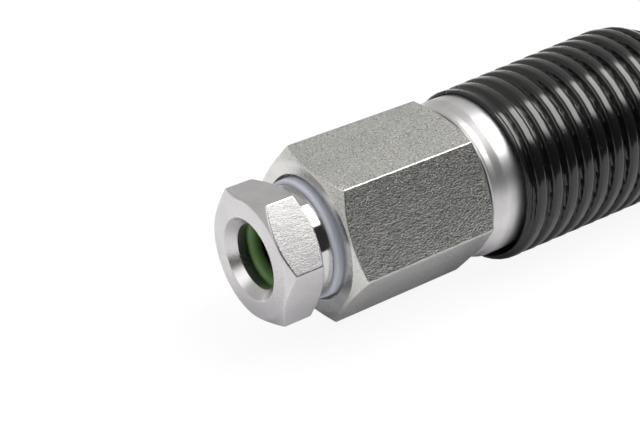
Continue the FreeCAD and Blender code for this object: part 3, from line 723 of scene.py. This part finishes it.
spacer_along, spacer_radius = outline([
    (7.5, 8.1, 0.15, 0.5), (7.5, 9.25, 0.5, 0.3), (11.1, 9.25, 0.2, 0.5), (11.1, 8.1, 0.15, 1.0),
])
spacer_turn = np.linspace(0, math.tau, 144, endpoint=False)
spacer = turned_piece("spacer_ring_nylon", socket_seat, spacer_along,
                      every_angle(spacer_radius, spacer_turn), spacer_turn)
dress(spacer, milky_nylon())
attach(spacer, "gland_travel")
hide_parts("spacer_ring")

# Gland nut
# Screws into the body and holds the rings: 19 mm hexagon with a countersunk mouth, a polished
# collar, and a shank with a right-hand M16 x 1.5 thread. Turned and milled steel, zinc plated.
NUT_ACROSS = 0.019
NUT_TURN = 47.2
nut_outline = [
    (-1.4, 6.45, 0.18, 0.3), (-1.4, 9.2, 0.9, 0.08), (-0.2, 11.1, 0.25, 0.3),
    (4.15, 11.1, 0.2, 0.08), (5.35, 9.2, 0.2, 0.3), (5.35, 8.65, 0.08, 0.4),
    (7.5, 8.65, 0.12, 0.4), (7.5, 8.0, 0.1, 0.4), (11.4, 8.0, 0.3, 0.125),
    (18.6, 8.0, 0.1, 0.4), (19.5, 7.08, 0.1, 0.4), (19.5, 7.0, 0.03, 0.4),
    (17.55, 5.05, 0.1, 1.0), (4.6, 5.05, 0.08, 0.5), (4.6, 7.3, 0.1, 0.5),
    (1.4, 7.3, 0.1, 0.5), (1.4, 5.05, 0.08, 0.3), (0.0, 5.05, 0.12, 0.2),
]
nut = hexagon_piece("gland_nut_milled", socket_seat, nut_outline, NUT_ACROSS, NUT_TURN,
                    per_flat=53, cut_above=0.0088, edge=0.0002,
                    thread=(0.0108, 0.0194, 0.0015, -0.00092, 0.0076, 0.0082))
dress(nut, plated_steel("nut_zinc", (0.62, 0.61, 0.62), (0.57, 0.565, 0.59), 0.22, socket_seat,
                        grain=(0.0002, 0.0000072, 0.2, 0.15), polished=(0.0053, 0.0076)))
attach(nut, "gland")
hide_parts("gland_nut")

# Wiper ring
# Olive-green elastomer O-ring, moulded in one piece and pressed into the groove behind the mouth.
# It wipes the plug as it goes in.
olive = seal_rubber("olive_elastomer", (0.10, 0.21, 0.06), (0.14, 0.27, 0.09), 0.32)
dress(nodes["wiper_o_ring"], olive)

# Rear nipple and its wire
# Turned barbed nipple with a flat sealing head. A ring of spring wire in its groove carries the
# nut, which turns freely on it.
nipple_zinc = plated_steel("nipple_zinc", (0.62, 0.61, 0.60), (0.55, 0.56, 0.57), 0.2, rear_seat)
dress(nodes["rear_nipple"], nipple_zinc)
dress(nodes["nut_retaining_wire"], turned_ring("spring_wire", (0.28, 0.28, 0.29), 0.25, 1.0))

# Swivel nut
# 24 mm union nut for a flat-face fitting, with a 13/16-16 UN thread inside and a turned neck that
# closes over the wire ring. Zinc-nickel plated.
SWIVEL_ACROSS = 0.024
SWIVEL_TURN = 12.0
swivel_outline = [
    (39.95, 8.98, 0.1, 0.6), (39.95, 11.2, 0.4, 0.4), (43.95, 11.2, 0.1, 0.09),
    (45.48, 13.85, 0.2, 0.6), (57.18, 13.85, 0.2, 0.09), (58.65, 11.3, 0.3, 0.5),
    (58.65, 10.4, 0.1, 0.3), (57.85, 9.6, 0.1, 0.13), (47.95, 9.6, 0.05, 0.3),
    (47.95, 8.98, 0.1, 0.5), (44.33, 8.98, 0.05, 0.3), (44.33, 9.82, 0.05, 0.3),
    (42.57, 9.82, 0.05, 0.3), (42.57, 8.98, 0.05, 0.5),
]
swivel = hexagon_piece("swivel_nut_milled", rear_seat, swivel_outline, SWIVEL_ACROSS, SWIVEL_TURN,
                       per_flat=56, cut_above=0.0107, edge=0.00022,
                       thread=(0.0482, 0.0578, 0.0015875, 0.0009, 0.0094, 0.0101))
dress(swivel, plated_steel("swivel_zinc", (0.60, 0.60, 0.58), (0.53, 0.55, 0.56), 0.22, rear_seat,
                           grain=(0.00024, 0.000025, 0.3, 0.3)))
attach(swivel, "swivel")
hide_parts("swivel_nut")

# Studio
# A white table in a dim studio. A large soft lamp hangs high on the right, a smaller one high on
# the left and a weak one over the table. It is light behind the table and dark in front of it.
TABLE_REACH = 6.0
TABLE_GAP = 0.00005
SEEN_PLAIN = 0.92
MIRRORED_PLAIN = 0.3
DIM = 0.04
BACK_LIGHT = 0.56
RIGHT_LAMP = 6.8
LEFT_LAMP = 1.6
TABLE_LAMP = 1.1


def white_table():
    """White board. The lens sees mostly a plain white, and for the rest the board with the light
    and shadow that fall on it. Bright metal sees mostly that board, and some plain dim lilac."""
    finish = Finish("white_table")
    seen = finish.add("LightPath", output="Is Camera Ray")
    mirrored = finish.add("LightPath", output="Is Glossy Ray")
    board = finish.add("BsdfDiffuse", Color=(0.9, 0.9, 0.9, 1))
    tint = finish.blend(seen, (0.34, 0.32, 0.375, 1), (1, 1, 1, 1))
    plain = finish.add("Emission", Color=tint, Strength=1.0)
    share = seen * SEEN_PLAIN + mirrored * MIRRORED_PLAIN
    finish.add("OutputMaterial", Surface=finish.add("MixShader", _0=share, _1=board, _2=plain))
    return finish.owner


def studio_light():
    """The surround's light by direction: dim everywhere, more towards the back, a rectangle with
    soft edges for the lamp on the right, and a soft disc for the left one. The lens sees white."""
    sky = Finish("studio_light", bpy.data.worlds.new("studio_light"))
    direction = sky.place("Generated")

    def toward(way):
        return sky.add("VectorMath", {"operation": "DOT_PRODUCT"}, output="Value", _0=direction, _1=way)

    back = toward((0, 1, 0)).within(-0.5, 0.4) * BACK_LIGHT
    high = toward((0, -0.921, -0.389))
    high = high.within(-0.47, -0.44) * high.within(0.265, 0.14)
    wide = toward((0.869, 0.193, -0.458))
    wide = wide.within(-0.37, -0.33) * wide.within(0.37, 0.33)
    facing = toward((0.497, -0.34, 0.80)).within(0.0, 0.1)
    left = toward((-0.755, -0.05, 0.654)).within(0.9, 0.965)
    light = DIM + back + high * wide * facing * RIGHT_LAMP + left * LEFT_LAMP
    seen = sky.add("LightPath", output="Is Camera Ray")
    tone = sky.add("CombineXYZ", X=light, Y=light * 0.99, Z=light * 0.95)
    shown = sky.blend(seen, tone, (1, 1, 1, 1))
    sky.add("OutputWorld", Surface=sky.add("Background", Color=shown, Strength=1.0))
    return sky.owner


def soft_lamp(name, middle, way, distance, size, radiance):
    """A square lamp at a distance from the middle, facing it. Its power is radiance times pi
    times its area."""
    way = Vector(way).normalized()
    lamp = bpy.data.lights.new(name, "AREA")
    lamp.size = size
    lamp.energy = radiance * math.pi * size * size
    holder = bpy.data.objects.new(name, lamp)
    holder.matrix_world = (Matrix.Translation(Vector(middle) + way * distance)
                           @ way.to_track_quat("Z", "Y").to_matrix().to_4x4())
    bpy.context.scene.collection.objects.link(holder)
    return holder


table_mesh = bpy.data.meshes.new("table")
table_corners = [(-TABLE_REACH, -TABLE_REACH, 0), (TABLE_REACH, -TABLE_REACH, 0),
                 (TABLE_REACH, TABLE_REACH, 0), (-TABLE_REACH, TABLE_REACH, 0)]
table_mesh.from_pydata(table_corners, [], [(0, 1, 2, 3)])
table_mesh.transform(Matrix.Translation((0, 0, GROUND - TABLE_GAP)))
table = bpy.data.objects.new("table", table_mesh)
bpy.context.scene.collection.objects.link(table)
dress(table, white_table())

bpy.context.scene.world = studio_light()
table_lamp = soft_lamp("table_lamp", (0.03, 0, 0), (0.1, 0.3, 1.0), 1.2, 1.2, TABLE_LAMP)
table_lamp.visible_glossy = False
bpy.context.scene.view_settings.view_transform = "Standard"
